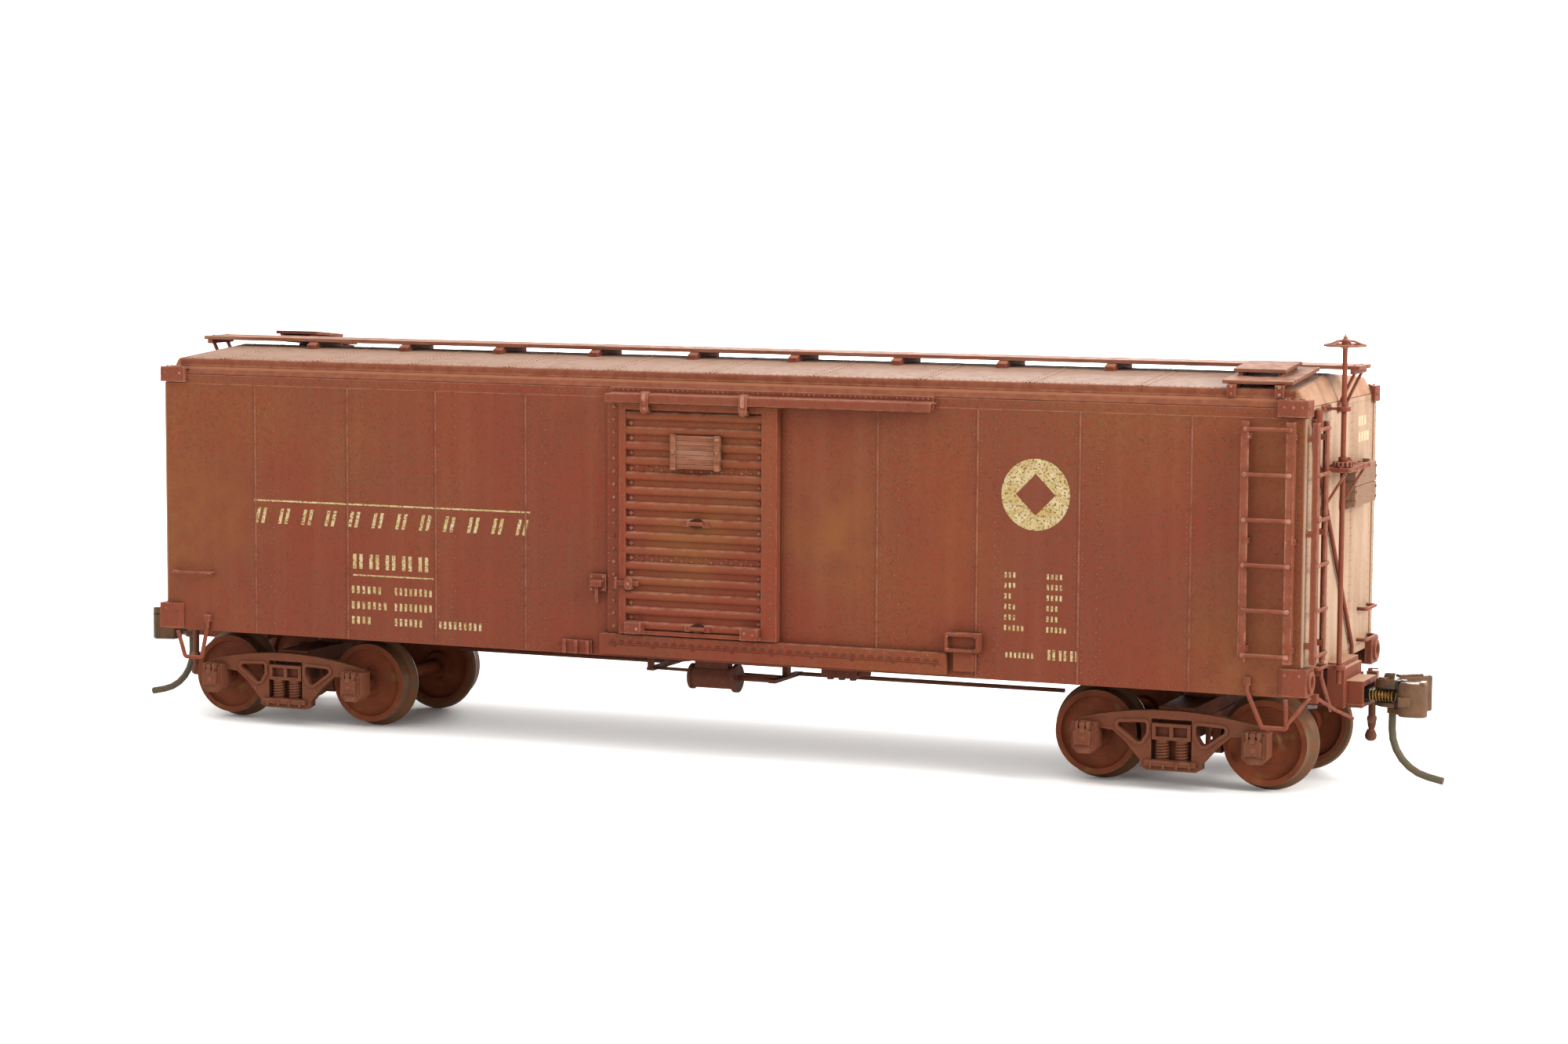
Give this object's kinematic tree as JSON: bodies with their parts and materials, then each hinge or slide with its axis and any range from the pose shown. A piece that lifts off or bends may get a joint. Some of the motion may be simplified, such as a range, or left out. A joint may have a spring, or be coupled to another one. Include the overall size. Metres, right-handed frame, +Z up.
{
  "type": "model box car",
  "caption": "HO scale plain-sided steel box car with sliding corrugated doors, rooftop walkway, brake gear, swivelling trucks, rolling wheelsets and couplers.",
  "frame": {"origin": "under the car's centre, on the surface that the wheel flanges stand on without a track", "axes": "+X along the car towards the hand brake end, +Y across to the far side, +Z up"},
  "size_m": [0.1656, 0.0366, 0.0492],
  "materials": {
    "body_paint": "matte",
    "detail_paint": "matte",
    "board_paint": "matte",
    "truck_paint": "matte",
    "underframe": "matte",
    "painted_wire": "matte",
    "hose_rubber": "matte",
    "wheel_metal": "satin",
    "spring_steel": "matte",
    "coupler_metal": "satin",
    "spring_brass": "satin",
    "ballast_steel": "satin",
    "screw_steel": "satin"
  },
  "bodies": {
    "carbody": {"air_hoses": "hose_rubber", "air_reservoir": "underframe", "ballast_weights": "ballast_steel", "brake_cylinder": "underframe", "brake_rigging": "painted_wire", "brake_step": "detail_paint", "centre_sill": "underframe", "control_valve": "underframe", "corner_castings": "body_paint", "crossmembers": "underframe", "door_posts": "body_paint", "door_rails": "body_paint", "door_stops": "body_paint", "door_tracks": "body_paint", "draft_gear_boxes": "underframe", "draft_gear_lids": "underframe", "end_a": "body_paint", "end_b": "body_paint", "end_ladders": "detail_paint", "floor": "underframe", "grab_irons": "painted_wire", "latch_keepers": "detail_paint", "lateral_boards": "board_paint", "mounting_screws": "screw_steel", "retainer_valve": "body_paint", "roof": "body_paint", "running_board": "board_paint", "running_board_supports": "detail_paint", "side_far": "body_paint", "side_ladders": "detail_paint", "side_near": "body_paint", "sill_steps": "detail_paint", "staff_brackets": "detail_paint", "tack_boards": "board_paint", "train_pipe": "painted_wire", "uncoupling_levers": "painted_wire"},
    "door_near": {"door_near": "body_paint", "door_near_fittings": "detail_paint"},
    "door_far": {"door_far": "body_paint", "door_far_fittings": "detail_paint"},
    "hand_brake": {"brake_staff": "painted_wire", "brake_wheel": "detail_paint"},
    "coupler_a": {"coupler_a": "coupler_metal", "knuckle_spring_a": "spring_brass"},
    "coupler_b": {"coupler_b": "coupler_metal", "knuckle_spring_b": "spring_brass"},
    "knuckle_a": {"knuckle_a": "coupler_metal"},
    "knuckle_b": {"knuckle_b": "coupler_metal"},
    "wheelset_a1": {"wheelset_a1": "wheel_metal"},
    "wheelset_a2": {"wheelset_a2": "wheel_metal"},
    "wheelset_b1": {"wheelset_b1": "wheel_metal"},
    "wheelset_b2": {"wheelset_b2": "wheel_metal"},
    "truck_a": {"truck_a_side_frames": "truck_paint", "truck_a_bolster": "truck_paint", "truck_a_springs": "spring_steel", "truck_a_brake_beams": "truck_paint"},
    "truck_b": {"truck_b_side_frames": "truck_paint", "truck_b_bolster": "truck_paint", "truck_b_springs": "spring_steel", "truck_b_brake_beams": "truck_paint"}
  },
  "joints": [
    {"name": "door_near_slide", "type": "slide", "parent": "carbody", "child": "door_near", "axis": [1, 0, 0], "range_m": [0, 0.0195]},
    {"name": "door_far_slide", "type": "slide", "parent": "carbody", "child": "door_far", "axis": [-1, 0, 0], "range_m": [0, 0.0195]},
    {"name": "hand_brake_turn", "type": "hinge", "parent": "carbody", "child": "hand_brake", "pos_m": [0.0726, -0.0073, 0.04], "axis": [0, 0, 1], "continuous": true},
    {"name": "truck_a_swivel", "type": "hinge", "parent": "carbody", "child": "truck_a", "pos_m": [-0.0556, 0, 0.0099], "axis": [0, 0, 1], "range_deg": [-10, 10]},
    {"name": "wheelset_a1_roll", "type": "hinge", "parent": "truck_a", "child": "wheelset_a1", "pos_m": [-0.04598, 0, 0.00545], "axis": [0, 1, 0], "continuous": true},
    {"name": "wheelset_a2_roll", "type": "hinge", "parent": "truck_a", "child": "wheelset_a2", "pos_m": [-0.06523, 0, 0.00545], "axis": [0, 1, 0], "continuous": true},
    {"name": "coupler_a_swing", "type": "hinge", "parent": "carbody", "child": "coupler_a", "pos_m": [-0.0672, 0, 0.0102], "axis": [0, 0, 1], "range_deg": [-8, 8], "stiffness_Nm_per_rad": 0.0002},
    {"name": "knuckle_a_open", "type": "hinge", "parent": "coupler_a", "child": "knuckle_a", "pos_m": [-0.0786, 0.002, 0.0101], "axis": [0, 0, 1], "range_deg": [-18, 0], "stiffness_Nm_per_rad": 0.0001, "springref_deg": 11.46},
    {"name": "truck_b_swivel", "type": "hinge", "parent": "carbody", "child": "truck_b", "pos_m": [0.0556, 0, 0.0099], "axis": [0, 0, 1], "range_deg": [-10, 10]},
    {"name": "wheelset_b1_roll", "type": "hinge", "parent": "truck_b", "child": "wheelset_b1", "pos_m": [0.04598, 0, 0.00545], "axis": [0, 1, 0], "continuous": true},
    {"name": "wheelset_b2_roll", "type": "hinge", "parent": "truck_b", "child": "wheelset_b2", "pos_m": [0.06523, 0, 0.00545], "axis": [0, 1, 0], "continuous": true},
    {"name": "coupler_b_swing", "type": "hinge", "parent": "carbody", "child": "coupler_b", "pos_m": [0.0672, 0, 0.0102], "axis": [0, 0, 1], "range_deg": [-8, 8], "stiffness_Nm_per_rad": 0.0002},
    {"name": "knuckle_b_open", "type": "hinge", "parent": "coupler_b", "child": "knuckle_b", "pos_m": [0.0786, -0.002, 0.0101], "axis": [0, 0, 1], "range_deg": [-18, 0], "stiffness_Nm_per_rad": 0.0001, "springref_deg": 11.46}
  ]
}
